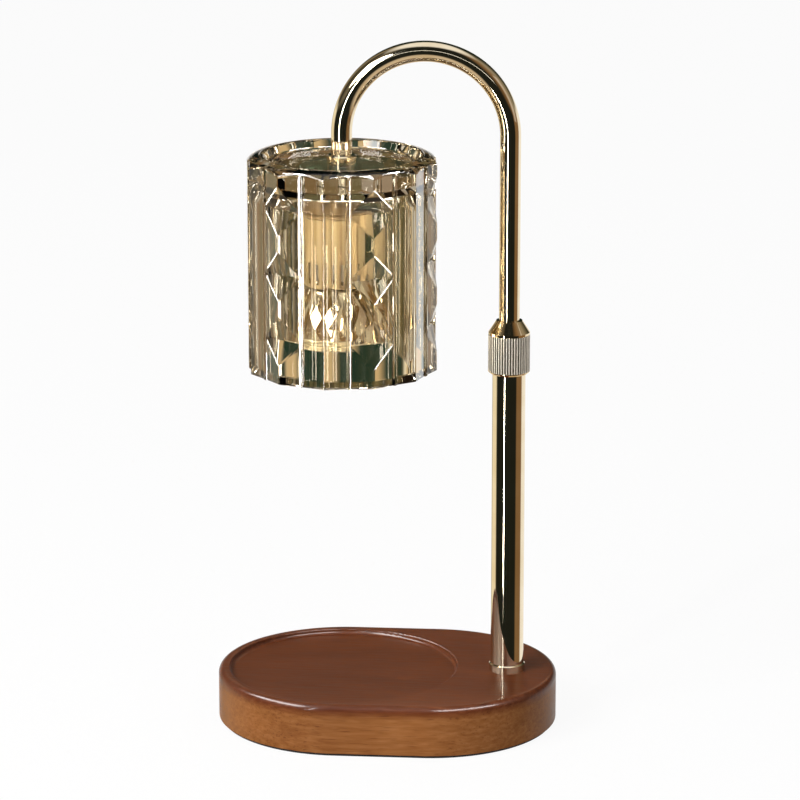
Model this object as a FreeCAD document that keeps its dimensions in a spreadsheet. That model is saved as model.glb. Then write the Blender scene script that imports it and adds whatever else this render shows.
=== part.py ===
import FreeCAD, Part
import Sketcher
import math
import os

# Candle warmer lamp: a round-ended wooden base, a pole with a locking collar,
# an arched arm tube that slides and swivels in it, and a cut-glass shade
# over a reflector bulb. Millimetres, +Z up, origin at the centre of the
# underside, pole on the +X side, front towards -Y.

os.makedirs("parts", exist_ok=True)
doc = FreeCAD.newDocument("candle_warmer_lamp")
sheet = doc.addObject("Spreadsheet::Sheet", "Sizes")

SIZES = {
    "base_end_r": 61.5,
    "base_centre_x": 21.0,
    "base_bottom": 1.5,
    "base_top": 25.5,
    "base_edge_r": 3.0,
    "pad_inset": 1.5,
    "dish_r": 55.5,
    "dish_floor": 23.0,
    "dish_cove_r": 1.8,
    "dish_lip_r": 0.6,
    "lamp_x": -21.5,
    "pole_x": 58.5,
    "pole_r": 8.0,
    "pole_bore_r": 6.5,
    "pole_top": 186.0,
    "foot_r": 8.7,
    "foot_top": 29.3,
    "stud_r": 5.0,
    "stud_bore_r": 3.0,
    "stud_bottom": 4.5,
    "well_r": 13.0,
    "well_top": 12.0,
    "channel_half": 5.0,
    "channel_top": 16.0,
    "gland_x": 10.0,
    "gland_height": 11.0,
    "gland_r": 4.5,
    "gland_bore_r": 3.3,
    "gland_flange": 2.0,
    "channel_end_y": 53.0,
    "clamp_y": 30.0,
    "collar_r": 10.0,
    "collar_bottom": 175.0,
    "collar_shoulder": 195.2,
    "collar_top": 200.8,
    "collar_tip_r": 6.3,
    "knurl_depth": 0.35,
    "knurl_margin": 1.1,
    "collet_bottom": 166.0,
    "collet_top": 192.0,
    "arm_r": 5.0,
    "arm_bore_r": 4.0,
    "arch_r": 40.0,
    "arch_x": 18.5,
    "arch_height": 290.0,
    "arm_low_end": 133.0,
    "seat_height": 277.0,
    "shade_bottom": 176.3,
    "shade_top": 280.0,
    "ridge_r": 46.0,
    "valley_r": 43.9,
    "diamond_r": 42.0,
    "diamond_half": 11.75,
    "diamond_pitch": 31.2,
    "diamond_low": 197.5,
    "rib_r": 45.0,
    "rib_half": 1.1,
    "glass_inner_r": 38.6,
    "ceiling": 268.0,
    "recess_r": 36.0,
    "recess_floor": 276.0,
    "shade_turn": 24.5,
    "nipple_r": 4.0,
    "cup_r": 16.0,
    "cup_bottom": 219.0,
    "cup_top": 266.5,
    "bulb_front": 190.0,
    "bulb_r": 25.0,
    "plate_height": 254.0,
    "holder_length": 16.0,
    "holder_screw_x": 9.5,
    "pin_height": 237.7,
    "pin_half": 5.0,
    "neck_height": 222.0,
    "neck_r": 12.5,
    "nipple_bore_r": 2.5,
    "stem_nut_across": 13.0,
    "vent_half": 0.9,
    "clamp_half": 14.5,
    "clamp_screw_x": 10.5,
    "clamp_thick": 1.5,
    "screw_r": 1.5,
    "clearance": 0.3,
}
for row, (alias, value) in enumerate(SIZES.items(), start=1):
    sheet.set("A%d" % row, alias)
    sheet.set("B%d" % row, str(value))
    sheet.setAlias("B%d" % row, alias)
doc.recompute()

PIECES = []
VENTS = 16


def cells(text):
    """Turn bare cell names in an expression into references to the sheet."""
    words = ""
    name = ""
    for letter in text + " ":
        if letter.isalnum() or letter == "_":
            name += letter
            continue
        words += "Sizes." + name if name in SIZES else name
        words += letter
        name = ""
    return words.strip()


def value_of(text):
    """Work out an expression of cell names now, for a first guess."""
    probe = doc.addObject("App::FeaturePython", "Probe")
    probe.addProperty("App::PropertyFloat", "amount")
    probe.setExpression("amount", cells(text))
    doc.recompute()
    amount = probe.amount
    doc.removeObject(probe.Name)
    return amount


def new_body(label, along_x="0", along_y="0", turn=None):
    """Start a body at a place on the base; the sheet holds the place."""
    body = doc.addObject("PartDesign::Body", label)
    body.Label = label
    body.setExpression("Placement.Base.x", cells(along_x))
    body.setExpression("Placement.Base.y", cells(along_y))
    if turn:
        body.setExpression("Placement.Rotation.Angle", cells(turn))
    PIECES.append(body)
    return body


def new_sketch(body, name, plane="XY_Plane", offset="0"):
    """Attach a sketch to one of its body's own planes, at an offset along its normal."""
    sketch = body.newObject("Sketcher::SketchObject", body.Name + "_" + name)
    origin_plane = [item for item in body.Origin.OriginFeatures if item.Role == plane][0]
    sketch.AttachmentSupport = (origin_plane, [""])
    sketch.MapMode = "FlatFace"
    sketch.setExpression("AttachmentOffset.Base.z", cells(offset))
    return sketch


def hold(sketch, kind, geometry, point, text):
    """Tie a point's distance from the sketch origin to the sheet, on either side."""
    amount = value_of(text)
    if amount < 0:
        index = sketch.addConstraint(Sketcher.Constraint(kind, geometry, point, -1, 1, -amount))
        sketch.setExpression("Constraints[%d]" % index, cells("-(" + text + ")"))
    else:
        index = sketch.addConstraint(Sketcher.Constraint(kind, -1, 1, geometry, point, amount))
        sketch.setExpression("Constraints[%d]" % index, cells(text))


def draw_circle(sketch, radius, across="0", up="0"):
    """A circle whose radius and centre follow the sheet."""
    centre = FreeCAD.Vector(value_of(across), value_of(up), 0)
    circle = Part.Circle(centre, FreeCAD.Vector(0, 0, 1), value_of(radius))
    geometry = sketch.addGeometry(circle, False)
    index = sketch.addConstraint(Sketcher.Constraint("Radius", geometry, value_of(radius)))
    sketch.setExpression("Constraints[%d]" % index, cells(radius))
    hold(sketch, "DistanceX", geometry, 3, across)
    hold(sketch, "DistanceY", geometry, 3, up)


def draw_polygon(sketch, corners):
    """A closed outline whose corners are pairs of expressions."""
    points = [FreeCAD.Vector(value_of(x), value_of(y), 0) for x, y in corners]
    count = len(points)
    lines = [sketch.addGeometry(Part.LineSegment(points[i], points[(i + 1) % count]), False)
             for i in range(count)]
    for i in range(count):
        sketch.addConstraint(
            Sketcher.Constraint("Coincident", lines[i], 2, lines[(i + 1) % count], 1))
        hold(sketch, "DistanceX", lines[i], 1, corners[i][0])
        hold(sketch, "DistanceY", lines[i], 1, corners[i][1])


def draw_stadium(sketch, radius, centre):
    """Two half circles joined by straight sides, about the sketch origin."""
    end_r = value_of(radius)
    end_x = value_of(centre)
    normal = FreeCAD.Vector(0, 0, 1)
    ends = []
    for side, start in ((1, -math.pi / 2), (-1, math.pi / 2)):
        circle = Part.Circle(FreeCAD.Vector(side * end_x, 0, 0), normal, end_r)
        ends.append(sketch.addGeometry(Part.ArcOfCircle(circle, start, start + math.pi), False))
    for side in (1, -1):
        line = Part.LineSegment(FreeCAD.Vector(side * end_x, side * end_r, 0),
                                FreeCAD.Vector(-side * end_x, side * end_r, 0))
        ends.append(sketch.addGeometry(line, False))
    right, left, back, front = ends
    for first, first_end, second, second_end in (
            (right, 2, back, 1), (back, 2, left, 1), (left, 2, front, 1), (front, 2, right, 1)):
        sketch.addConstraint(
            Sketcher.Constraint("Coincident", first, first_end, second, second_end))
    for arc, sign in ((right, ""), (left, "-")):
        index = sketch.addConstraint(Sketcher.Constraint("Radius", arc, end_r))
        sketch.setExpression("Constraints[%d]" % index, cells(radius))
        hold(sketch, "DistanceX", arc, 3, sign + centre)
        hold(sketch, "DistanceY", arc, 3, "0")
        sketch.addConstraint(Sketcher.Constraint("Vertical", arc, 3, arc, 1))
        sketch.addConstraint(Sketcher.Constraint("Vertical", arc, 3, arc, 2))


def pad(body, sketch, length, down=False):
    """Add the sketch's area over a length."""
    feature = body.newObject("PartDesign::Pad", sketch.Name + "_pad")
    feature.Profile = sketch
    feature.Reversed = down
    feature.setExpression("Length", cells(length))
    return settle(body, feature, grows=True)


def pocket(body, sketch, length, up=False):
    """Cut the sketch's area over a length."""
    feature = body.newObject("PartDesign::Pocket", sketch.Name + "_pocket")
    feature.Profile = sketch
    feature.Reversed = up
    feature.setExpression("Length", cells(length))
    return settle(body, feature, grows=False)


def turned(body, sketch, kind="Revolution", angle="360"):
    """Turn a profile about the sketch's vertical axis, adding or cutting."""
    feature = body.newObject("PartDesign::" + kind, sketch.Name + "_turned")
    feature.Profile = sketch
    feature.ReferenceAxis = (sketch, ["V_Axis"])
    feature.setExpression("Angle", cells(angle))
    return settle(body, feature, grows=kind == "Revolution")


def pattern(body, features, count, about="Z_Axis"):
    """Repeat features evenly round an axis of the body."""
    feature = body.newObject("PartDesign::PolarPattern", features[0].Name + "_pattern")
    feature.Originals = features
    axis = [item for item in body.Origin.OriginFeatures if item.Role == about][0]
    feature.Axis = (axis, [""])
    feature.Angle = 360
    feature.Occurrences = count
    body.Tip = feature
    doc.recompute()
    return feature


def settle(body, feature, grows):
    """Recompute, and make sure that the feature changed the body the right way."""
    before = volumes.get(body.Name, 0.0)
    body.Tip = feature
    doc.recompute()
    after = feature.Shape.Volume
    if grows != (after > before) or after == before:
        raise RuntimeError("%s did not change the volume as it should" % feature.Name)
    volumes[body.Name] = after
    return feature


volumes = {}


def turned_piece(label, corners, along_x="0", along_y="0"):
    """A piece turned on a lathe from one closed profile of radius and height."""
    body = new_body(label, along_x, along_y)
    profile = new_sketch(body, "profile", "XZ_Plane")
    draw_polygon(profile, corners)
    turned(body, profile)
    return body


def ring_piece(label, outer, inner, bottom, top, along_x="0", along_y="0"):
    """A plain ring, tube or washer."""
    corners = [(inner, bottom), (outer, bottom), (outer, top), (inner, top)]
    return turned_piece(label, corners, along_x, along_y)


def hex_nut(label, across_flats, bore, bottom, top, along_x):
    """A hexagon nut with its bore."""
    body = new_body(label, along_x)
    outline = new_sketch(body, "hexagon", "XY_Plane", bottom)
    corner_r = "(%s) / 2 / cos(30 deg)" % across_flats
    draw_polygon(outline, [("%s * cos(%d deg)" % (corner_r, angle),
                            "%s * sin(%d deg)" % (corner_r, angle))
                           for angle in range(30, 390, 60)])
    draw_circle(outline, bore)
    pad(body, outline, "(%s) - (%s)" % (top, bottom))
    return body


def round_edges(body, feature, radius, chosen):
    """Fillet the edges of a feature that a test picks out."""
    names = ["Edge%d" % (i + 1) for i, edge in enumerate(feature.Shape.Edges) if chosen(edge)]
    fillet = body.newObject("PartDesign::Fillet", feature.Name + "_rounded")
    fillet.Base = (feature, names)
    fillet.setExpression("Radius", cells(radius))
    body.Tip = fillet
    doc.recompute()
    volumes[body.Name] = fillet.Shape.Volume
    return fillet


def wood_base():
    """The wooden foot, with its dish, pole hole, nut well and cord channel."""
    body = new_body("wood_base")
    outline = new_sketch(body, "outline", "XY_Plane", "base_bottom")
    draw_stadium(outline, "base_end_r", "base_centre_x")
    block = pad(body, outline, "base_top - base_bottom")
    top = SIZES["base_top"]
    block = round_edges(body, block, "base_edge_r",
                        lambda edge: edge.BoundBox.ZMin > top - 0.01)
    dish = new_sketch(body, "dish", "XY_Plane", "dish_floor")
    draw_circle(dish, "dish_r", "lamp_x")
    cut = pocket(body, dish, "base_top - dish_floor + 1", up=True)
    lamp_x, dish_r, floor = SIZES["lamp_x"], SIZES["dish_r"], SIZES["dish_floor"]

    def at_dish_rim(edge, height):
        box = edge.BoundBox
        level = abs(box.ZMin - height) < 0.01 and abs(box.ZMax - height) < 0.01
        return level and abs(box.XMax - lamp_x - dish_r) < 0.01

    cove = round_edges(body, cut, "dish_cove_r", lambda edge: at_dish_rim(edge, floor))
    round_edges(body, cove, "dish_lip_r", lambda edge: at_dish_rim(edge, top))
    hole = new_sketch(body, "pole_hole", "XY_Plane", "base_top")
    draw_circle(hole, "stud_r + 0.2", "pole_x")
    pocket(body, hole, "base_top - base_bottom + 1")
    well = new_sketch(body, "nut_well", "XY_Plane", "well_top")
    draw_circle(well, "well_r", "pole_x")
    pocket(body, well, "well_top - base_bottom + 1")
    along = new_sketch(body, "channel_along", "XY_Plane", "channel_top")
    draw_polygon(along, [("gland_x - channel_half", "-channel_half"),
                         ("pole_x", "-channel_half"),
                         ("pole_x", "channel_half"),
                         ("gland_x - channel_half", "channel_half")])
    pocket(body, along, "channel_top - base_bottom + 1")
    back = new_sketch(body, "channel_back", "XY_Plane", "channel_top")
    draw_polygon(back, [("gland_x - channel_half", "0"),
                        ("gland_x + channel_half", "0"),
                        ("gland_x + channel_half", "channel_end_y"),
                        ("gland_x - channel_half", "channel_end_y")])
    pocket(body, back, "channel_top - base_bottom + 1")
    recess = new_sketch(body, "clamp_recess", "XY_Plane", "base_bottom + 3")
    draw_polygon(recess, [("gland_x - clamp_half - 0.5", "clamp_y - 5"),
                          ("gland_x + clamp_half + 0.5", "clamp_y - 5"),
                          ("gland_x + clamp_half + 0.5", "clamp_y + 5"),
                          ("gland_x - clamp_half - 0.5", "clamp_y + 5")])
    pocket(body, recess, "4")
    pilot = new_sketch(body, "clamp_pilots", "XY_Plane", "base_bottom + 3")
    for side in ("- clamp_screw_x", "+ clamp_screw_x"):
        draw_circle(pilot, "screw_r", "gland_x " + side, "clamp_y")
    pocket(body, pilot, "9", up=True)
    gland = new_sketch(body, "gland_hole", "XZ_Plane", "-base_end_r - 1")
    draw_circle(gland, "gland_r", "gland_x", "gland_height")
    pocket(body, gland, "base_end_r - channel_end_y + 2", up=True)
    seat = new_sketch(body, "gland_seat", "XZ_Plane", "-base_end_r - 1")
    draw_circle(seat, "gland_r + 2.2", "gland_x", "gland_height")
    pocket(body, seat, "gland_flange + 1", up=True)


def base_fittings():
    """The foot pad, the pole's fixing, the cord gland and the cord clamp."""
    pad_body = new_body("base_pad")
    outline = new_sketch(pad_body, "outline")
    draw_stadium(outline, "base_end_r - pad_inset", "base_centre_x")
    pad(pad_body, outline, "base_bottom")

    ring_piece("tube_plug", "pole_bore_r", "stud_r", "base_top", "base_top + 15", "pole_x")
    ring_piece("pole_stud", "stud_r", "stud_bore_r", "stud_bottom", "base_top + 13", "pole_x")
    ring_piece("stud_washer", "stud_r + 7", "stud_r", "well_top - 1.5", "well_top", "pole_x")
    hex_nut("stud_nut", "17", "stud_r", "well_top - 6.5", "well_top - 1.5", "pole_x")

    gland = new_body("cord_gland", "gland_x")
    flange = new_sketch(gland, "flange", "XZ_Plane", "-base_end_r")
    draw_circle(flange, "gland_r + 2.2", "0", "gland_height")
    draw_circle(flange, "gland_bore_r", "0", "gland_height")
    pad(gland, flange, "gland_flange")
    shank = new_sketch(gland, "shank", "XZ_Plane", "-base_end_r + gland_flange")
    draw_circle(shank, "gland_r", "0", "gland_height")
    draw_circle(shank, "gland_bore_r", "0", "gland_height")
    pad(gland, shank, "base_end_r - gland_flange - channel_end_y")

    clamp = new_body("cord_clamp", "gland_x", "clamp_y")
    plate = new_sketch(clamp, "plate", "XY_Plane", "base_bottom + clamp_thick")
    draw_polygon(plate, [("-clamp_half", "-4.5"), ("clamp_half", "-4.5"),
                         ("clamp_half", "4.5"), ("-clamp_half", "4.5")])
    for side in ("-clamp_screw_x", "clamp_screw_x"):
        draw_circle(plate, "screw_r", side)
    pad(clamp, plate, "clamp_thick")

    screws = new_body("clamp_screws", "gland_x", "clamp_y")
    heads = new_sketch(screws, "heads", "XY_Plane", "base_bottom")
    shanks = new_sketch(screws, "shanks", "XY_Plane", "base_bottom + clamp_thick")
    for side in ("-clamp_screw_x", "clamp_screw_x"):
        draw_circle(heads, "2.8", side)
        draw_circle(shanks, "screw_r", side)
    screws.AllowCompound = True
    pad(screws, heads, "clamp_thick")
    pad(screws, shanks, "9.5")


def pole():
    """The lower tube and the slim ring at its foot."""
    ring_piece("pole_tube", "pole_r", "pole_bore_r", "base_top", "pole_top", "pole_x")
    turned_piece("foot_ring", [("pole_r", "base_top"), ("foot_r", "base_top"),
                               ("foot_r", "foot_top - 0.5"), ("foot_r - 0.5", "foot_top"),
                               ("pole_r", "foot_top")], "pole_x")


def collet():
    """The slit sleeve in the top of the pole that guides and grips the arm tube."""
    body = turned_piece("collet", [
        ("arm_r + 0.05", "collet_bottom"), ("pole_bore_r - 0.05", "collet_bottom"),
        ("pole_bore_r - 0.05", "pole_top + 0.05"), ("pole_bore_r + 0.6", "pole_top + 0.05"),
        ("pole_bore_r + 0.6", "pole_top + 2"), ("arm_r + 0.9", "collet_top"),
        ("arm_r + 0.05", "collet_top")], "pole_x")
    slit = new_sketch(body, "slit", "XY_Plane", "collet_top + 1")
    draw_polygon(slit, [("arm_r - 1", "-0.5"), ("pole_r", "-0.5"),
                        ("pole_r", "0.5"), ("arm_r - 1", "0.5")])
    cut = pocket(body, slit, "16")
    pattern(body, [cut], 4)


def locking_collar():
    """The knurled nut that squeezes the collet, with a cone at its top."""
    gap = " + clearance"
    body = turned_piece("locking_collar", [
        ("pole_r + 0.05", "collar_bottom"), ("collar_r - 0.8", "collar_bottom"),
        ("collar_r", "collar_bottom + 0.8"), ("collar_r", "collar_shoulder"),
        ("collar_tip_r", "collar_top"), ("arm_r" + gap, "collar_top"),
        ("arm_r" + gap, "collet_top + 2.5"), ("arm_r + 1.3", "collet_top + 1"),
        ("pole_bore_r + 0.6" + gap, "pole_top + 2"),
        ("pole_bore_r + 0.6" + gap, "pole_top + clearance"),
        ("pole_r + 0.05", "pole_top + clearance")], "pole_x")
    notch = new_sketch(body, "knurl_notch", "XY_Plane", "collar_bottom + knurl_margin")
    draw_polygon(notch, [("collar_r - knurl_depth", "0"), ("collar_r + 0.3", "-0.55"),
                         ("collar_r + 0.3", "0.55")])
    cut = pocket(body, notch, "collar_shoulder - collar_bottom - 2 * knurl_margin", up=True)
    pattern(body, [cut], 48)


def arm():
    """The arched tube, the stop at its low end and the flange on the shade."""
    body = new_body("arm_tube", "arch_x")
    body.setExpression("Placement.Base.z", cells("arch_height"))
    arch = new_sketch(body, "arch")
    draw_circle(arch, "arm_r", "arch_r")
    draw_circle(arch, "arm_bore_r", "arch_r")
    bend = body.newObject("PartDesign::Revolution", "arm_bend")
    bend.Profile = arch
    bend.ReferenceAxis = (arch, ["V_Axis"])
    bend.Angle = 180
    bend.Reversed = True
    settle(body, bend, grows=True)
    for name, across, low_end in (("pole_leg", "arch_r", "arm_low_end"),
                                  ("lamp_leg", "-arch_r", "seat_height")):
        leg = new_sketch(body, name)
        draw_circle(leg, "arm_r", across)
        draw_circle(leg, "arm_bore_r", across)
        pad(body, leg, "arch_height - " + low_end, down=True)

    turned_piece("arm_stop", [
        ("arm_r", "arm_low_end"), ("pole_bore_r - 0.3", "arm_low_end"),
        ("pole_bore_r - 0.3", "arm_low_end + 6"), ("arm_r + 0.7", "arm_low_end + 7"),
        ("arm_r", "arm_low_end + 7")], "pole_x")
    turned_piece("stem_flange", [
        ("nipple_r", "recess_floor"), ("arm_r + 2", "recess_floor"),
        ("arm_r + 2", "shade_top - 0.6"), ("arm_r + 1.4", "shade_top"),
        ("arm_r", "shade_top"), ("arm_r", "seat_height"), ("nipple_r", "seat_height")], "lamp_x")


def shade_prism(body):
    """The twelve-sided outside: ridges out, valleys in, round the lamp axis."""
    outline = new_sketch(body, "outline", "XY_Plane", "shade_bottom")
    corners = []
    for step in range(24):
        radius = "valley_r" if step % 2 else "ridge_r"
        angle = 15 * step - 90
        corners.append(("%s * cos(%d deg)" % (radius, angle),
                        "%s * sin(%d deg)" % (radius, angle)))
    draw_polygon(outline, corners)
    pad(body, outline, "shade_top - shade_bottom")


def shade_diamonds(body):
    """Four-sided cuts on every other panel, in three rows."""
    depth = "(ridge_r + 1.5 - diamond_r)"
    half_up = "diamond_half * " + depth + " / (ridge_r - diamond_r)"
    half_across = ("valley_r * sin(15 deg) * " + depth
                   + " / (valley_r * cos(15 deg) - diamond_r)")
    for row in range(3):
        centre = "diamond_low + %d * diamond_pitch" % row
        mouth = new_sketch(body, "mouth_%d" % row, "XZ_Plane", "ridge_r + 1.5")
        draw_polygon(mouth, [("0", centre + " - " + half_up),
                             (half_across, centre),
                             ("0", centre + " + " + half_up),
                             ("-" + half_across, centre)])
        tip = new_sketch(body, "tip_%d" % row, "XZ_Plane", "diamond_r")
        point = tip.addGeometry(Part.Point(FreeCAD.Vector(0, value_of(centre), 0)), False)
        hold(tip, "DistanceX", point, 1, "0")
        hold(tip, "DistanceY", point, 1, centre)
        cut = body.newObject("PartDesign::SubtractiveLoft", "diamond_%d" % row)
        cut.Profile = mouth
        cut.Sections = [(tip, ["Vertex1"])]
        cut.Ruled = True
        settle(body, cut, grows=False)
        repeated = pattern(body, [cut], 6)
        volumes[body.Name] = repeated.Shape.Volume


def shade_ribs(body):
    """A narrow raised rib down each valley between two panels."""
    rib = new_sketch(body, "rib", "XY_Plane", "shade_bottom")
    draw_polygon(rib, [("-rib_half", "-valley_r + 3"), ("rib_half", "-valley_r + 3"),
                       ("rib_half", "-rib_r + 0.5"), ("0", "-rib_r"),
                       ("-rib_half", "-rib_r + 0.5")])
    rib.setExpression("AttachmentOffset.Rotation.Angle", "15 deg")
    raised = pad(body, rib, "shade_top - shade_bottom")
    repeated = pattern(body, [raised], 12)
    volumes[body.Name] = repeated.Shape.Volume


def glass_shade():
    """The cut-glass shade, open below, with a thick plate at its top."""
    body = new_body("glass_shade", "lamp_x", "0", "shade_turn * 1 deg")
    shade_prism(body)
    shade_diamonds(body)
    shade_ribs(body)
    shoulder = new_sketch(body, "shoulder", "XZ_Plane")
    draw_polygon(shoulder, [("ridge_r + 0.1", "shade_top - 3.6"),
                            ("ridge_r + 2", "shade_top - 3.6"),
                            ("ridge_r + 2", "shade_top + 1"),
                            ("ridge_r - 8", "shade_top + 1"),
                            ("ridge_r - 7", "shade_top - 0.05"),
                            ("ridge_r - 4.4", "shade_top - 0.4"),
                            ("ridge_r - 2.3", "shade_top - 1.3")])
    turned(body, shoulder, "Groove")
    inside = new_sketch(body, "inside", "XZ_Plane")
    draw_polygon(inside, [("0", "shade_bottom - 1"), ("glass_inner_r + 3.4", "shade_bottom - 1"),
                          ("glass_inner_r + 2", "shade_bottom + 0.4"),
                          ("glass_inner_r", "shade_bottom + 3"),
                          ("glass_inner_r", "ceiling - 8"),
                          ("glass_inner_r - 2.3", "ceiling - 2.3"),
                          ("glass_inner_r - 8", "ceiling"),
                          ("0", "ceiling")])
    turned(body, inside, "Groove")
    recess = new_sketch(body, "recess", "XZ_Plane")
    draw_polygon(recess, [("0", "recess_floor"), ("recess_r - 2", "recess_floor"),
                          ("recess_r - 0.6", "recess_floor + 0.6"),
                          ("recess_r", "recess_floor + 2"),
                          ("recess_r + 1.5", "shade_top + 1"), ("0", "shade_top + 1")])
    turned(body, recess, "Groove")
    hole = new_sketch(body, "stem_hole", "XY_Plane", "shade_top")
    draw_circle(hole, "nipple_r + 0.2")
    pocket(body, hole, "shade_top - ceiling + 1")


def lamp_head():
    """What hangs inside the shade: gasket, nipple, nuts, cup, holder and bulb."""
    ring_piece("inner_gasket", "cup_r - 1", "nipple_r", "cup_top", "ceiling", "lamp_x")
    ring_piece("shade_nipple", "nipple_r", "nipple_bore_r", "plate_height", "recess_floor + 16", "lamp_x")
    hex_nut("cup_nut", "stem_nut_across", "nipple_r", "cup_top - 4.5", "cup_top - 1.5", "lamp_x")
    hex_nut("holder_nut", "stem_nut_across", "nipple_r", "plate_height + 1",
            "plate_height + 4", "lamp_x")
    cup = turned_piece("socket_cup", [
        ("nipple_r", "cup_top - 1.5"), ("cup_r - 1", "cup_top - 1.5"),
        ("cup_r - 1", "cup_bottom"), ("cup_r", "cup_bottom"),
        ("cup_r", "plate_height - 1.5"), ("cup_r + 0.5", "plate_height - 1.1"),
        ("cup_r", "plate_height - 0.7"),
        ("cup_r", "plate_height + 0.7"), ("cup_r + 0.5", "plate_height + 1.1"),
        ("cup_r", "plate_height + 1.5"),
        ("cup_r", "cup_top - 1.2"), ("cup_r - 1.2", "cup_top"), ("nipple_r", "cup_top")], "lamp_x")
    slot = new_sketch(cup, "vent_slot", "XZ_Plane", "cup_r - 2")
    draw_polygon(slot, [("-vent_half", "cup_bottom + 2"), ("vent_half", "cup_bottom + 2"),
                        ("vent_half", "cup_bottom + 12"), ("-vent_half", "cup_bottom + 12")])
    cut = pocket(cup, slot, "4", up=True)
    pattern(cup, [cut], VENTS)

    plate = new_body("holder_plate", "lamp_x")
    disc = new_sketch(plate, "disc", "XY_Plane", "plate_height")
    draw_circle(disc, "cup_r - 2.5")
    draw_circle(disc, "nipple_r")
    for side in ("-holder_screw_x", "holder_screw_x"):
        draw_circle(disc, "screw_r", side)
    pad(plate, disc, "1")

    screws = new_body("holder_screws", "lamp_x")
    screws.AllowCompound = True
    shanks = new_sketch(screws, "shanks", "XY_Plane", "plate_height - 5")
    heads = new_sketch(screws, "heads", "XY_Plane", "plate_height + 1")
    for side in ("-holder_screw_x", "holder_screw_x"):
        draw_circle(shanks, "screw_r", side)
        draw_circle(heads, "2.5", side)
    pad(screws, shanks, "6")
    pad(screws, heads, "2")

    holder = new_body("lampholder", "lamp_x")
    block = new_sketch(holder, "block", "XY_Plane", "plate_height - holder_length")
    draw_circle(block, "cup_r - 2")
    pad(holder, block, "holder_length")
    sockets = new_sketch(holder, "pin_sockets", "XY_Plane", "plate_height - holder_length")
    bores = new_sketch(holder, "screw_bores", "XY_Plane", "plate_height")
    for side in ("-", ""):
        draw_circle(sockets, "3", "0", side + "pin_half")
        draw_circle(bores, "screw_r", side + "holder_screw_x")
    pocket(holder, sockets, "9", up=True)
    pocket(holder, bores, "5")

    turned_piece("bulb_base", [
        ("0", "neck_height"), ("neck_r - 1", "neck_height"), ("neck_r", "neck_height + 2"),
        ("neck_r", "pin_height - 1.7"), ("neck_r - 1", "pin_height"), ("0", "pin_height")], "lamp_x")
    pins = new_body("bulb_pins", "lamp_x")
    pins.AllowCompound = True
    stems = new_sketch(pins, "stems", "XY_Plane", "pin_height")
    buttons = new_sketch(pins, "buttons", "XY_Plane", "pin_height + 4.3")
    for side in ("-", ""):
        draw_circle(stems, "1.4", "0", side + "pin_half")
        draw_circle(buttons, "2.4", "0", side + "pin_half")
    pad(pins, stems, "4.3")
    pad(pins, buttons, "3")
    turned_piece("bulb_reflector", [
        ("bulb_r - 1.4", "bulb_front"), ("bulb_r", "bulb_front"),
        ("bulb_r", "bulb_front + 5"), ("bulb_r - 1", "bulb_front + 7"),
        ("21.5", "bulb_front + 16"), ("17", "bulb_front + 24"),
        ("neck_r", "neck_height - 1"), ("neck_r - 1", "neck_height"), ("neck_r - 3", "neck_height"),
        ("15.6", "bulb_front + 23"), ("bulb_r - 2.4", "bulb_front + 6"),
        ("bulb_r - 2.4", "bulb_front + 2.5"), ("bulb_r - 1.4", "bulb_front + 2.5")], "lamp_x")
    turned_piece("bulb_lens", [
        ("0", "bulb_front + 0.8"), ("bulb_r - 1.4", "bulb_front + 0.8"),
        ("bulb_r - 1.4", "bulb_front + 2.5"), ("0", "bulb_front + 2.5")], "lamp_x")
    turned_piece("bulb_capsule", [
        ("0", "bulb_front + 10"), ("3.2", "bulb_front + 11"), ("4.5", "bulb_front + 14"),
        ("4.5", "bulb_front + 28"), ("3.5", "neck_height"), ("0", "neck_height")], "lamp_x")


def check_and_write():
    """Refuse a failed object or a bad shape, then write every piece."""
    doc.recompute()
    for item in doc.Objects:
        if {"Invalid", "Error"} & set(item.State):
            raise RuntimeError("%s failed: %s" % (item.Name, item.State))
    for piece in PIECES:
        shape = piece.Shape
        if shape.isNull() or not shape.isValid():
            raise RuntimeError("%s has a bad shape" % piece.Label)
        print("%-16s solids %d volume %.0f" % (piece.Label, len(shape.Solids), shape.Volume))
        shape.exportStep("parts/%s.step" % piece.Label)


wood_base()
base_fittings()
pole()
collet()
locking_collar()
arm()
glass_shade()
lamp_head()
check_and_write()
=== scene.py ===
import math

import bpy
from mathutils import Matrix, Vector


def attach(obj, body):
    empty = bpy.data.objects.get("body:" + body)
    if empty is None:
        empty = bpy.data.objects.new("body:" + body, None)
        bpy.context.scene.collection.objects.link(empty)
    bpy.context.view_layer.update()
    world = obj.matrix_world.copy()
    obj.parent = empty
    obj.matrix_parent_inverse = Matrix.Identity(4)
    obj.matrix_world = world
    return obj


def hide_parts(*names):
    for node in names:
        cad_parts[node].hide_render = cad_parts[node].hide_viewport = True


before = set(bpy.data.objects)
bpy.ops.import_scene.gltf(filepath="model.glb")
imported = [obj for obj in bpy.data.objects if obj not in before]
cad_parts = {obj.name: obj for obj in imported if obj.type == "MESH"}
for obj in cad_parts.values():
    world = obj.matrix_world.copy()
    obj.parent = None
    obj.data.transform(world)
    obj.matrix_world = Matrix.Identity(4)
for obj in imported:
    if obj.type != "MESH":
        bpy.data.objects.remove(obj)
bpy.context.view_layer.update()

# The candle warmer lamp's dressed model and its studio.
# Metres, +Z up, the pole on the +X side, front towards -Y. Sizes in millimetres are multiplied by MM.

MM = 0.001

# The photograph's camera: where it looks, from where, and its focal length.
LOOK_AT = Vector((6.226, 0.0, 160.157)) * MM
CAMERA_AZIMUTH = 4.583
CAMERA_ELEVATION = 15.033
CAMERA_DISTANCE = 1939.7 * MM
SENSOR_WIDTH = 36.0
FOCAL_PIXELS = 4037.3
FRAME_PIXELS = 800

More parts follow.
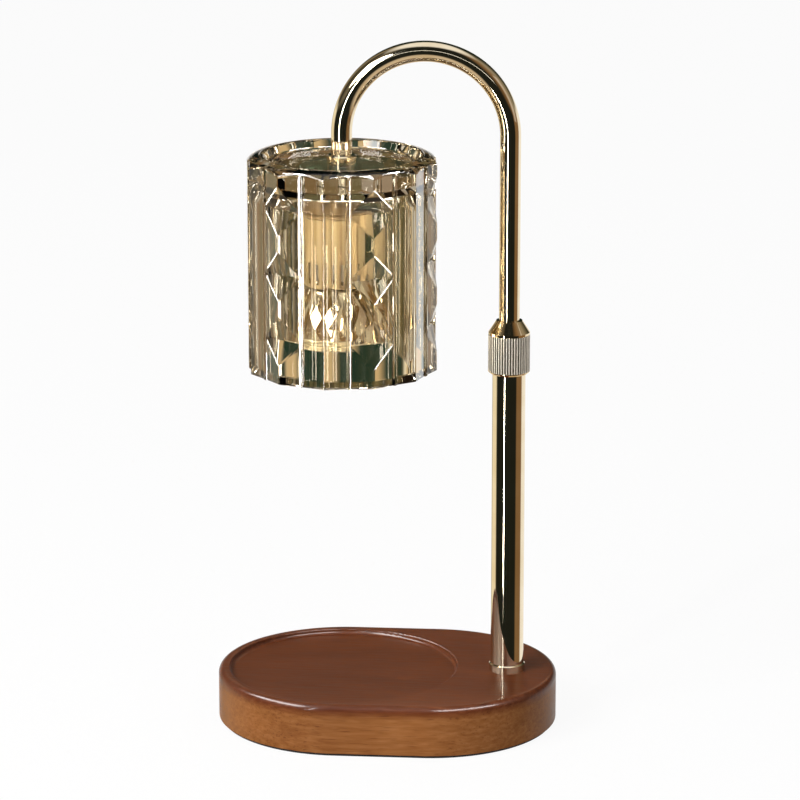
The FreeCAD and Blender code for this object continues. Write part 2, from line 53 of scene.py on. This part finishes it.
# Places on the object that the materials and the added pieces refer to, in mm.
POLE_X = 58.5
LAMP_X = -21.5
WOOD_SIDE_TOP, WOOD_TOP_START = 19.0, 22.8
KNURL_LOW, KNURL_HIGH, KNURL_FADE = 176.1, 194.1, 0.2
KNURL_RIDGES = 48.0
CUP_LOW, CUP_HIGH = 219.0, 266.5


def facing(bearing, rise=0.0):
    """The unit vector at a compass bearing from the front, and a rise, both in degrees."""
    turn, up = math.radians(bearing), math.radians(rise)
    return Vector((math.sin(turn) * math.cos(up), -math.cos(turn) * math.cos(up), math.sin(up)))


CAMERA_WAY = facing(CAMERA_AZIMUTH, CAMERA_ELEVATION)
CAMERA_PLACE = LOOK_AT + CAMERA_WAY * CAMERA_DISTANCE


def add_camera():
    """The camera at the photograph's viewing angle."""
    lens = bpy.data.cameras.new("camera")
    lens.sensor_width = SENSOR_WIDTH
    lens.lens = FOCAL_PIXELS / FRAME_PIXELS * SENSOR_WIDTH
    camera = bpy.data.objects.new("camera", lens)
    bpy.context.scene.collection.objects.link(camera)
    camera.location = CAMERA_PLACE
    camera.rotation_euler = (-CAMERA_WAY).to_track_quat("-Z", "Y").to_euler()
    bpy.context.scene.camera = camera


# Helpers for node trees.

class Nodes:
    """A node tree, with short ways to add and join nodes."""

    def __init__(self, tree):
        self.tree = tree

    def add(self, kind, **settings):
        node = self.tree.nodes.new(kind)
        for key, value in settings.items():
            setattr(node, key, value)
        return node

    def join(self, source, target):
        self.tree.links.new(source, target)

    def put(self, value, socket):
        """Join a socket to another, or set a colour or a number on it."""
        if isinstance(value, bpy.types.NodeSocket):
            self.join(value, socket)
        elif isinstance(value, tuple):
            socket.default_value = value + (1.0,)
        else:
            socket.default_value = value

    def math(self, operation, *values):
        node = self.add("ShaderNodeMath", operation=operation)
        for value, socket in zip(values, node.inputs):
            self.put(value, socket)
        return node.outputs[0]

    def axes(self, source):
        """A vector's three parts."""
        node = self.add("ShaderNodeSeparateXYZ")
        self.join(source, node.inputs[0])
        return node.outputs

    def ramp(self, source, stops):
        """A colour ramp from (place, colour) pairs."""
        node = self.add("ShaderNodeValToRGB")
        elements = node.color_ramp.elements
        while len(elements) < len(stops):
            elements.new(0.5)
        for element, (place, colour) in zip(elements, stops):
            element.position = place
            element.color = colour + (1.0,)
        self.join(source, node.inputs["Fac"])
        return node.outputs["Color"]

    def spread(self, source, low, high, start=0.3, end=0.7):
        """A value that goes from low to high while the source goes from start to end."""
        node = self.add("ShaderNodeMapRange")
        node.inputs["From Min"].default_value = start
        node.inputs["From Max"].default_value = end
        node.inputs["To Min"].default_value = low
        node.inputs["To Max"].default_value = high
        self.join(source, node.inputs["Value"])
        return node.outputs["Result"]

    def between(self, source, start, end):
        """0 where the source is at start or before, 1 where it is at end or past it."""
        return self.spread(source, 0.0, 1.0, start, end)

    def mix(self, factor, first, second, blend="MIX"):
        """Two colours mixed by a texture or a fixed share."""
        node = self.add("ShaderNodeMix", data_type="RGBA", blend_type=blend)
        for value, number in ((factor, 0), (first, 6), (second, 7)):
            self.put(value, node.inputs[number])
        return node.outputs[2]


class Recipe(Nodes):
    """A material made from its Principled shader and textures in object coordinates."""

    def __init__(self, name):
        self.material = bpy.data.materials.new(name)
        self.material.use_nodes = True
        super().__init__(self.material.node_tree)
        self.shader = self.tree.nodes["Principled BSDF"]
        self.place = self.add("ShaderNodeTexCoord").outputs["Object"]

    def set(self, **inputs):
        """Constants on the shader's own sockets, named in lower case with underscores."""
        for key, value in inputs.items():
            name = key.replace("_", " ").title().replace("Ior", "IOR")
            self.shader.inputs[name].default_value = value

    def feed(self, name, source):
        self.join(source, self.shader.inputs[name])

    def noise(self, scale, detail=4.0, stretch=(1, 1, 1), distortion=0.0):
        """Noise in object coordinates, which stretch scales along each axis."""
        mapping = self.add("ShaderNodeMapping")
        mapping.inputs["Scale"].default_value = stretch
        self.join(self.place, mapping.inputs["Vector"])
        node = self.add("ShaderNodeTexNoise")
        node.inputs["Scale"].default_value = scale
        node.inputs["Detail"].default_value = detail
        node.inputs["Distortion"].default_value = distortion
        self.join(mapping.outputs["Vector"], node.inputs["Vector"])
        return node.outputs["Fac"]

    def bump(self, source, height, strength):
        """A bump of a real height in metres."""
        node = self.add("ShaderNodeBump")
        node.inputs["Distance"].default_value = height
        node.inputs["Strength"].default_value = strength
        self.join(source, node.inputs["Height"])
        self.join(node.outputs["Normal"], self.shader.inputs["Normal"])


# Materials.

def plated_metal(name, dark, light, rough_low, rough_high, ripple):
    """Polished plating: colour drifts a little, with faint wipe marks."""
    recipe = Recipe(name)
    recipe.set(metallic=1.0)
    cloud = recipe.noise(60.0, 3.0)
    recipe.feed("Base Color", recipe.ramp(cloud, ((0.35, dark), (0.65, light))))
    smears = recipe.noise(260.0, 5.0, (1, 1, 0.25))
    recipe.feed("Roughness", recipe.spread(smears, rough_low, rough_high))
    recipe.bump(recipe.noise(90.0, 2.0), ripple, 0.4)
    return recipe.material


def varnished_wood():
    """Stained, glossy wood with long grain; the top is painted darker and redder than the sides, as
    painted shade, and the sides lighter, as painted light.
    """
    recipe = Recipe("varnished_wood")
    recipe.set(coat_roughness=0.07, specular_ior_level=0.08)
    figure = recipe.noise(7.0, 3.0, (1.0, 3.0, 5.0), 0.6)
    grain = recipe.noise(130.0, 6.0, (0.5, 4.0, 5.0), 0.3)
    pores = recipe.noise(260.0, 2.0, (0.35, 6.0, 6.0))
    # The same grain in two tones by which way the surface faces: the lighter sides are painted light, the
    # darker, redder top is painted shade.
    side = recipe.ramp(grain, (
        (0.25, (0.150, 0.054, 0.014)), (0.50, (0.188, 0.074, 0.021)), (0.75, (0.232, 0.100, 0.032))))
    top = recipe.ramp(grain, (
        (0.25, (0.068, 0.0155, 0.004)), (0.50, (0.094, 0.024, 0.0065)), (0.75, (0.124, 0.035, 0.011))))
    height = recipe.axes(recipe.place)["Z"]
    upward = recipe.between(height, WOOD_SIDE_TOP * MM, WOOD_TOP_START * MM)
    stain_and_painted_shade = recipe.mix(upward, side, top)
    recipe.feed("Coat Weight", recipe.spread(upward, 0.04, 0.24, 0.0, 1.0))
    patches = recipe.ramp(figure, ((0.35, (0.80, 0.74, 0.70)), (0.65, (1.08, 1.04, 1.0))))
    toned = recipe.mix(1.0, stain_and_painted_shade, patches, "MULTIPLY")
    dots = recipe.ramp(pores, ((0.30, (0.70, 0.66, 0.66)), (0.42, (1.0, 1.0, 1.0))))
    recipe.feed("Base Color", recipe.mix(1.0, toned, dots, "MULTIPLY"))
    recipe.feed("Roughness", recipe.spread(grain, 0.30, 0.45))
    recipe.bump(grain, 0.00006, 0.5)
    return recipe.material


def amber_glass():
    """Champagne pressed glass with faint ripples."""
    recipe = Recipe("amber_glass")
    recipe.set(transmission_weight=1.0, ior=1.52)
    tint = recipe.noise(14.0, 2.0)
    recipe.feed("Base Color", recipe.ramp(tint, ((0.3, (0.95, 0.84, 0.65)), (0.7, (0.98, 0.91, 0.76)))))
    recipe.feed("Roughness", recipe.spread(recipe.noise(120.0, 3.0), 0.0, 0.02))
    recipe.bump(recipe.noise(55.0, 2.0, (1, 1, 0.5)), 0.00012, 0.35)
    return recipe.material


def clear_glass():
    """The bulb's clear glass, with a trace of unevenness."""
    recipe = Recipe("clear_glass")
    recipe.set(transmission_weight=1.0, ior=1.5)
    tint = recipe.noise(40.0)
    recipe.feed("Base Color", recipe.ramp(tint, ((0.3, (0.95, 0.96, 0.95)), (0.7, (0.99, 0.99, 0.98)))))
    recipe.feed("Roughness", recipe.spread(recipe.noise(200.0), 0.0, 0.03))
    recipe.bump(recipe.noise(80.0), 0.00008, 0.3)
    return recipe.material


def moulded(name, dark, light, rough_low, rough_high, grain_height, metallic=0.0):
    """Plastic, rubber, ceramic or plain metal: a fine grain and a slight colour drift."""
    recipe = Recipe(name)
    recipe.set(metallic=metallic)
    recipe.feed("Base Color", recipe.ramp(recipe.noise(70.0), ((0.3, dark), (0.7, light))))
    grain = recipe.noise(900.0, 3.0)
    recipe.feed("Roughness", recipe.spread(grain, rough_low, rough_high))
    recipe.bump(grain, grain_height, 0.5)
    return recipe.material


def knurled_gold():
    """The collar: bright plating whose knurled band is a close ring of fine ridges, a little worn, with
    painted shade in its grooves and painted highlights on its crests.
    """
    recipe = Recipe("knurled_gold")
    spot = recipe.axes(recipe.place)
    across = recipe.math("SUBTRACT", spot["X"], POLE_X * MM)
    angle = recipe.math("ARCTAN2", spot["Y"], across)
    wave = recipe.math("SINE", recipe.math("MULTIPLY_ADD", angle, KNURL_RIDGES, -math.pi / 2))
    low_end = recipe.between(spot["Z"], KNURL_LOW * MM, (KNURL_LOW + KNURL_FADE) * MM)
    high_end = recipe.between(spot["Z"], KNURL_HIGH * MM, (KNURL_HIGH - KNURL_FADE) * MM)
    band = recipe.math("MULTIPLY", low_end, high_end)
    worn = recipe.noise(1300.0, 2.0, (1.0, 1.0, 0.6))
    ridges = recipe.mix(0.45, wave, worn)
    cloud = recipe.noise(60.0, 3.0)
    plain = recipe.ramp(cloud, ((0.35, (0.80, 0.65, 0.42)), (0.65, (0.88, 0.75, 0.53))))
    # Painted shade and painted highlights: the knurl's grooves are coloured near black and its crests
    # near white.
    cut = recipe.ramp(ridges, (
        (0.04, (0.06, 0.05, 0.03)), (0.26, (0.70, 0.59, 0.44)), (0.52, (0.96, 0.90, 0.80))))
    recipe.feed("Base Color", recipe.mix(band, plain, cut))
    recipe.feed("Roughness", recipe.spread(band, 0.06, 0.34, 0.0, 1.0))
    recipe.feed("Metallic", recipe.spread(band, 1.0, 0.60, 0.0, 1.0))
    recipe.bump(recipe.math("MULTIPLY", ridges, band), 0.0003, 0.9)
    return recipe.material


def streaked_cup():
    """The pale cup: brushed down its length, with painted shade by height: a little darker at its bottom
    and much darker near its top, under the seal and the glass plate.
    """
    recipe = Recipe("streaked_cup")
    recipe.set(metallic=0.25)
    streaks = recipe.noise(170.0, 2.0, (1.0, 1.0, 0.02))
    brushed = recipe.ramp(streaks, (
        (0.36, (0.15, 0.09, 0.04)), (0.46, (0.34, 0.26, 0.14)), (0.62, (0.52, 0.44, 0.29))))
    height = recipe.between(recipe.axes(recipe.place)["Z"], CUP_LOW * MM, CUP_HIGH * MM)
    # Painted shade by height: darker towards the cup's bottom and, more, near its top under the seal and
    # the glass plate.
    band = recipe.ramp(height, (
        (0.0, (0.80, 0.78, 0.76)), (0.35, (1.0, 1.0, 1.0)), (0.71, (1.0, 1.0, 1.0)),
        (0.74, (0.52, 0.46, 0.40)), (1.0, (0.40, 0.34, 0.30))))
    recipe.feed("Base Color", recipe.mix(1.0, brushed, band, "MULTIPLY"))
    recipe.feed("Roughness", recipe.spread(streaks, 0.25, 0.40))
    recipe.bump(streaks, 0.00003, 0.5)
    return recipe.material


# The CAD nodes' finishes.

EDGE_SOFTNESS = 0.35 * MM
SOFTENED_ANGLE = math.radians(12.0)
WELD_REACH = 0.001 * MM


def dress(material, *nodes):
    """Give CAD nodes a finished material."""
    for node in nodes:
        part = bpy.data.objects[node]
        part.data.materials.clear()
        part.data.materials.append(material)


def soften_edges(node):
    """Round a CAD node's crisp edges a little where they are drawn, so that they catch light."""
    part = bpy.data.objects[node]
    joined = part.modifiers.new("joined", "WELD")
    joined.merge_threshold = WELD_REACH
    bevel = part.modifiers.new("rounded", "BEVEL")
    bevel.width = EDGE_SOFTNESS
    bevel.segments = 1
    bevel.limit_method = "ANGLE"
    bevel.angle_limit = SOFTENED_ANGLE
    bevel.use_clamp_overlap = False
    crisp = part.modifiers.new("crisp", "EDGE_SPLIT")
    crisp.split_angle = SOFTENED_ANGLE


def dress_nodes():
    """Every CAD node's finish."""
    dress(plated_metal("polished_gold", (0.80, 0.68, 0.48), (0.88, 0.78, 0.60), 0.03, 0.09, 0.00001),
          "pole_tube", "foot_ring", "arm_tube", "stem_flange")
    dress(knurled_gold(), "locking_collar")
    dress(plated_metal("satin_gold", (0.84, 0.74, 0.54), (0.92, 0.84, 0.66), 0.20, 0.30, 0.00002),
          "collet", "arm_stop")
    dress(streaked_cup(), "socket_cup")
    dress(varnished_wood(), "wood_base")
    dress(amber_glass(), "glass_shade")
    soften_edges("glass_shade")
    dress(clear_glass(), "bulb_lens", "bulb_capsule")
    dress(moulded("black_rubber", (0.010, 0.010, 0.010), (0.022, 0.021, 0.020), 0.6, 0.8, 0.00005),
          "base_pad", "inner_gasket")
    dress(moulded("black_plastic", (0.012, 0.012, 0.012), (0.02, 0.02, 0.02), 0.35, 0.5, 0.00002),
          "cord_gland", "cord_clamp")
    dress(moulded("white_ceramic", (0.72, 0.70, 0.65), (0.82, 0.81, 0.77), 0.15, 0.3, 0.00002),
          "lampholder", "bulb_base")
    dress(moulded("zinc_steel", (0.45, 0.45, 0.44), (0.6, 0.6, 0.58), 0.25, 0.4, 0.00001, 1.0),
          "tube_plug", "pole_stud", "stud_washer", "stud_nut", "clamp_screws", "shade_nipple",
          "cup_nut", "holder_nut", "holder_plate", "holder_screws", "bulb_pins")


# The pieces that the solids leave plain.

LATHE_STEPS = 72
LATHE_CREASE = math.radians(35)
BULB_FACETS = 18
# Height and radius of each ring of the bulb's faceted shell, from its rim up, in mm.
BULB_RINGS = ((195.4, 24.9), (200.5, 23.6), (206.0, 21.6), (211.5, 18.9), (216.5, 15.6), (221.6, 11.9))
# Radius and height of each corner of the bulb's rim and of the seal above the cup, in mm.
RIM_PROFILE = (
    (23.2, 190.1), (24.6, 190.1), (25.0, 190.6), (25.0, 192.2), (24.6, 192.7), (25.0, 193.2),
    (25.0, 194.8), (24.6, 195.4), (23.2, 195.4))
SEAL_PROFILE = ((4.1, 266.6), (20.0, 266.6), (20.3, 267.2), (20.0, 267.9), (4.1, 267.9))


def ring_points(height, radius, count, turn=0.0):
    """Points round the lamp's axis, in metres."""
    points = []
    for step in range(count):
        angle = 2 * math.pi * (step + turn) / count
        points.append(Vector((LAMP_X + radius * math.cos(angle), radius * math.sin(angle), height)) * MM)
    return points


def new_piece(name, points, faces, material, smooth=False):
    """A mesh piece on the arm, which carries the whole head."""
    mesh = bpy.data.meshes.new(name)
    mesh.from_pydata(points, [], faces)
    mesh.materials.append(material)
    mesh.update()
    for face in mesh.polygons:
        face.use_smooth = smooth
    piece = bpy.data.objects.new(name, mesh)
    bpy.context.scene.collection.objects.link(piece)
    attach(piece, "arm")
    return piece


def lathed(name, profile, material):
    """A closed ring of revolution round the lamp's axis."""
    points, faces = [], []
    for radius, height in profile:
        points += ring_points(height, radius, LATHE_STEPS)
    for row in range(len(profile)):
        low, high = row * LATHE_STEPS, (row + 1) % len(profile) * LATHE_STEPS
        for step in range(LATHE_STEPS):
            after = (step + 1) % LATHE_STEPS
            faces.append((low + step, low + after, high + after, high + step))
    piece = new_piece(name, points, faces, material, smooth=True)
    crease = piece.modifiers.new("crisp", "EDGE_SPLIT")
    crease.split_angle = LATHE_CREASE
    return piece


def faceted_shell(material):
    """The bulb's outside as rows of triangles, each row turned by half a facet."""
    points, faces = [], []
    for row, (height, radius) in enumerate(BULB_RINGS):
        points += ring_points(height, radius, BULB_FACETS, 0.5 * (row % 2))
    for row in range(len(BULB_RINGS) - 1):
        low, high = row * BULB_FACETS, (row + 1) * BULB_FACETS
        for step in range(BULB_FACETS):
            after = (step + 1) % BULB_FACETS
            above = after if row % 2 else step
            below = step if row % 2 else after
            faces.append((low + step, low + after, high + above))
            faces.append((low + below, high + after, high + step))
    return new_piece("bulb_facets", points, faces, material)


def add_bulb_details():
    """The bulb's glass rim and faceted shell, and the seal between the cup and the shade, whose dark
    green is a painted reflection.
    """
    crystal = moulded("crystal_mirror", (0.62, 0.60, 0.54), (0.86, 0.85, 0.80), 0.02, 0.08, 0.000004, 1.0)
    rim_glass = moulded("rim_glass", (0.42, 0.37, 0.26), (0.56, 0.52, 0.40), 0.10, 0.20, 0.000004, 0.3)
    rim = lathed("bulb_rim", RIM_PROFILE, rim_glass)
    shell = faceted_shell(crystal)
    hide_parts("bulb_reflector")
    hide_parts("bulb_reflector")
    # A seal sits here; its dark green colour is a painted reflection, the dark green that the shade's top
    # recess shows.
    rubber = moulded("seal_rubber_painted_reflection", (0.010, 0.030, 0.020), (0.020, 0.050, 0.034), 0.5, 0.7, 0.00003)
    seal = lathed("shade_seal", SEAL_PROFILE, rubber)
    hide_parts("inner_gasket")


# The studio's floor.

FLOOR_SIZE = 6.0
FLOOR_GLOW = 0.92


def floor_material():
    """White: mostly its own glow to the camera, lit otherwise, and clear to gloss and glass."""
    recipe = Recipe("studio_floor")
    tone = recipe.noise(3.0)
    recipe.feed("Base Color", recipe.ramp(tone, ((0.3, (0.90, 0.90, 0.90)), (0.7, (0.93, 0.93, 0.93)))))
    recipe.set(roughness=0.9)
    glow = recipe.add("ShaderNodeEmission")
    path = recipe.add("ShaderNodeLightPath").outputs
    shown = recipe.add("ShaderNodeMixShader")
    recipe.join(recipe.math("MULTIPLY", path["Is Camera Ray"], FLOOR_GLOW), shown.inputs[0])
    recipe.join(recipe.shader.outputs[0], shown.inputs[1])
    recipe.join(glow.outputs[0], shown.inputs[2])
    passing = recipe.add("ShaderNodeMixShader")
    recipe.join(recipe.math("MAXIMUM", path["Is Glossy Ray"], path["Is Transmission Ray"]),
                passing.inputs[0])
    recipe.join(shown.outputs[0], passing.inputs[1])
    recipe.join(recipe.add("ShaderNodeBsdfTransparent").outputs[0], passing.inputs[2])
    recipe.join(passing.outputs[0], recipe.tree.nodes["Material Output"].inputs["Surface"])
    return recipe.material


def add_floor():
    """The floor, as a part of the stage."""
    mesh = bpy.data.meshes.new("studio_floor")
    half = FLOOR_SIZE / 2
    corners = [(-half, -half, 0), (half, -half, 0), (half, half, 0), (-half, half, 0)]
    mesh.from_pydata(corners, [], [(0, 1, 2, 3)])
    mesh.materials.append(floor_material())
    floor = bpy.data.objects.new("studio_floor", mesh)
    bpy.context.scene.collection.objects.link(floor)


# The studio's walls: the compass bearing from the front (0), with the pole side at 90, and the colour.

WHITE = (1.0, 0.98, 0.94)
CREAM = (0.95, 0.86, 0.66)
PEARL = (0.80, 0.78, 0.72)
HONEY = (0.62, 0.46, 0.25)
SILVER = (0.48, 0.47, 0.43)
SAND = (0.35, 0.30, 0.22)
TAN = (0.30, 0.24, 0.16)
AMBER = (0.32, 0.21, 0.095)
BROWN = (0.24, 0.14, 0.065)
DRAB = (0.20, 0.17, 0.12)
OLIVE = (0.15, 0.13, 0.065)
MOSS = (0.10, 0.09, 0.06)
GREEN = (0.016, 0.040, 0.026)
DUSK = (0.015, 0.024, 0.017)
BLACK = (0.015, 0.016, 0.012)
# Seen in reflections, at the object's height and above it.
REFLECTED_WALLS = (
    (-180, WHITE), (-152, WHITE), (-145, OLIVE), (-136, CREAM), (-94, CREAM), (-84, BLACK),
    (54, BLACK), (62, BROWN), (100, BROWN), (108, WHITE), (180, WHITE))
UPPER_WALLS = (
    (-180, DUSK), (-150, DUSK), (-130, TAN), (-100, BLACK), (-60, DRAB), (-30, BLACK),
    (30, BLACK), (60, BROWN), (100, SAND), (130, MOSS), (150, DUSK), (180, DUSK))
# Seen through one wall of the shade, through more, and by mirrors behind glass.
ONE_WALL = (
    (-180, GREEN), (-170, GREEN), (-166, HONEY), (-159, HONEY), (-155, GREEN), (-135, BLACK),
    (-110, OLIVE), (-60, BLACK), (60, BLACK), (110, BROWN), (140, GREEN), (158, GREEN),
    (162, HONEY), (168, CREAM), (172, GREEN), (180, GREEN))
REFRACTED_WALLS = (
    (-180, GREEN), (-170, OLIVE), (-158, BLACK), (-148, SILVER), (-138, BLACK), (-124, AMBER),
    (-108, BROWN), (-80, BLACK), (-62, AMBER), (-50, BLACK), (-10, OLIVE), (12, BLACK),
    (40, BROWN), (56, SILVER), (66, BLACK), (92, BROWN), (112, AMBER), (124, SILVER),
    (132, BLACK), (146, AMBER), (154, GREEN), (164, OLIVE), (172, GREEN), (180, GREEN))
SPARKLE_WALLS = (
    (-180, OLIVE), (-162, BROWN), (-148, SILVER), (-136, BROWN), (-112, OLIVE), (-92, AMBER),
    (-74, PEARL), (-62, BROWN), (-44, SILVER), (-20, AMBER), (-12, BROWN), (2, WHITE),
    (14, PEARL), (28, BLACK), (44, AMBER), (60, PEARL), (80, BROWN), (112, AMBER),
    (124, SILVER), (136, OLIVE), (158, BROWN), (180, OLIVE))
FLOOR_SEEN = (0.66, 0.54, 0.40)
GROUND = (0.030, 0.045, 0.028)
DOME = (1.0, 0.98, 0.95)
PLAIN_LEVEL = (0.54, 0.54, 0.54)
BACKDROP = (1.0, 1.0, 1.0)


class Sky(Nodes):
    """The world's node tree."""

    def __init__(self):
        world = bpy.data.worlds.new("studio")
        bpy.context.scene.world = world
        world.use_nodes = True
        super().__init__(world.node_tree)
        self.tree.nodes.clear()
        self.way = self.axes(self.add("ShaderNodeTexCoord").outputs["Generated"])
        self.path = self.add("ShaderNodeLightPath").outputs
        angle = self.math("ARCTAN2", self.way["X"], self.math("MULTIPLY", self.way["Y"], -1.0))
        self.bearing = self.between(angle, -math.pi, math.pi)

    def walls(self, stops):
        """A ring of walls, from the back round by the left and the front."""
        return self.ramp(self.bearing, [((degrees + 180) / 360, colour) for degrees, colour in stops])


def add_world():
    """White to the camera, plain to diffuse surfaces, a studio with dark and lit walls to gloss."""
    sky = Sky()
    height, path = sky.way["Z"], sky.path
    reflected = sky.mix(sky.between(height, 0.04, 0.16), sky.walls(REFLECTED_WALLS),
                        sky.walls(UPPER_WALLS))
    reflected = sky.mix(sky.between(height, -0.42, -0.60), reflected, FLOOR_SEEN)
    refracted = sky.mix(sky.between(height, -0.20, -0.50), sky.walls(REFRACTED_WALLS), GROUND)
    several_walls = sky.between(path["Transmission Depth"], 2.0, 3.0)
    refracted = sky.mix(several_walls, sky.walls(ONE_WALL), refracted)
    refracted = sky.mix(sky.between(path["Glossy Depth"], 0.0, 1.0), refracted,
                        sky.walls(SPARKLE_WALLS))
    studio = sky.mix(path["Is Transmission Ray"], reflected, refracted)
    studio = sky.mix(sky.between(height, 0.80, 0.92), studio, DOME)
    plain = sky.mix(sky.between(path["Diffuse Depth"], 0.0, 1.0), studio, PLAIN_LEVEL)
    background = sky.add("ShaderNodeBackground")
    sky.join(sky.mix(path["Is Camera Ray"], plain, BACKDROP), background.inputs["Color"])
    output = sky.add("ShaderNodeOutputWorld")
    sky.join(background.outputs[0], output.inputs["Surface"])


# The studio's lamps.

NEUTRAL = (1.0, 1.0, 1.0)
COOL = (0.80, 0.90, 1.0)
# Name, place, size, watts and colour.
SOFT_LAMPS = (
    ("key_lamp", (-1.1, -1.0, 1.1), (0.7, 0.7), 19.0, NEUTRAL),
    ("side_lamp", (1.3, -0.3, 0.7), (0.5, 0.9), 0.4, (0.95, 0.97, 1.0)),
    ("strip_lamp", (-0.61, -1.37, 0.35), (0.06, 1.6), 12.0, NEUTRAL))
# A strip for each bright line on the shade: where the line stands, which way its cut faces, the
# strip's width, its level and its colour.
EDGE_GLINTS = (
    (-21.2, -44.9, 0.03, 30.0, WHITE), (-20.5, -20.5, 0.03, 34.0, WHITE),
    (-19.0, 37.0, 0.03, 30.0, WHITE), (-5.5, -5.5, 0.03, 34.0, WHITE),
    (8.1, -48.0, 0.03, 30.0, WHITE), (10.1, 33.9, 0.03, 34.0, WHITE),
    (62.0, 72.1, 0.05, 1.6, COOL))
EDGE_RADIUS, EDGE_HEIGHT, EDGE_STRIP_LENGTH = 45.5, 228.0, 0.26
# The same for the shoulder: where each cut stands and how far it leans back.
SHOULDER_GLINTS = ((-20.0, 46.0), (10.0, 46.0), (38.0, 46.0))
SHOULDER_RADIUS, SHOULDER_HEIGHT = 44.0, 277.5
SHOULDER_SIZE, SHOULDER_LEVEL = (0.30, 0.14), 20.0
GLINT_DISTANCE = 0.45
WINDOW_X, WINDOW_Y, WINDOW_Z = -0.02, 0.50, 0.385
WINDOW_TINT = (1.0, 0.58, 0.38)
WOOD_EDGE_BEARINGS, WOOD_EDGE_RISE = (-72.0, 43.0), 45.0
WOOD_EDGE_AIM = Vector((0, 0, 0.02))
ARCH_RISE, ARCH_DISTANCE = 22.0, 1.4


def only_for(node):
    """A collection with one node, for the lamps that light nothing else."""
    group = bpy.data.collections.new(node + "_only")
    group.objects.link(bpy.data.objects[node])
    return group


def add_lamp(name, place, size, power, tint=NEUTRAL, aim=LOOK_AT, only=None):
    """A flat soft lamp that faces a point, for everything or for one collection only."""
    light = bpy.data.lights.new(name, "AREA")
    light.shape = "RECTANGLE"
    light.size, light.size_y = size
    light.energy = power
    light.color = tint
    lamp = bpy.data.objects.new(name, light)
    lamp.location = place
    lamp.rotation_euler = (Vector(place) - aim).to_track_quat("Z", "Y").to_euler()
    bpy.context.scene.collection.objects.link(lamp)
    if only:
        lamp.light_linking.receiver_collection = only
    return lamp


def add_glint(shade, place, normal, size, level, tint=NEUTRAL):
    """A lamp where a cut of the shade that faces along normal mirrors it towards the front."""
    seen = (place - CAMERA_PLACE).normalized()
    mirrored = seen - 2 * seen.dot(normal) * normal
    power = level * math.pi * size[0] * size[1]
    lamp = add_lamp("glint_lamp", place + mirrored * GLINT_DISTANCE, size, power, tint, place, shade)
    lamp.visible_camera = False


def add_glints():
    """Strips that draw the bright lines down the shade's edges and on its shoulder."""
    shade = only_for("glass_shade")
    axis = Vector((LAMP_X, 0.0, 0.0)) * MM
    for bearing, normal, width, level, tint in EDGE_GLINTS:
        place = axis + facing(bearing) * EDGE_RADIUS * MM + Vector((0, 0, EDGE_HEIGHT * MM))
        add_glint(shade, place, facing(normal), (width, EDGE_STRIP_LENGTH), level, tint)
    for bearing, rise in SHOULDER_GLINTS:
        place = axis + facing(bearing) * SHOULDER_RADIUS * MM + Vector((0, 0, SHOULDER_HEIGHT * MM))
        add_glint(shade, place, facing(bearing, rise), SHOULDER_SIZE, SHOULDER_LEVEL)


def add_studio():
    """The floor, the world and the lamps."""
    add_floor()
    add_world()
    for name, place, size, power, tint in SOFT_LAMPS:
        add_lamp(name, place, size, power, tint)
    add_glints()
    wood = only_for("wood_base")
    window = add_lamp("window_lamp", (WINDOW_X, WINDOW_Y, WINDOW_Z), (0.55, 0.32), 0.80, WINDOW_TINT,
                      Vector((WINDOW_X, 0.0, WINDOW_Z)), wood)
    window.visible_diffuse = False
    for bearing in WOOD_EDGE_BEARINGS:
        edge = add_lamp("edge_lamp", WOOD_EDGE_AIM + facing(bearing, WOOD_EDGE_RISE), (0.9, 0.35), 36.0,
                        only=wood)
        edge.visible_diffuse = False
    add_lamp("arch_lamp", LOOK_AT + facing(0.0, ARCH_RISE) * ARCH_DISTANCE, (1.5, 0.06), 0.5,
             only=only_for("arm_tube"))
    bpy.context.scene.view_settings.view_transform = "Standard"


add_camera()
dress_nodes()
add_bulb_details()
add_studio()
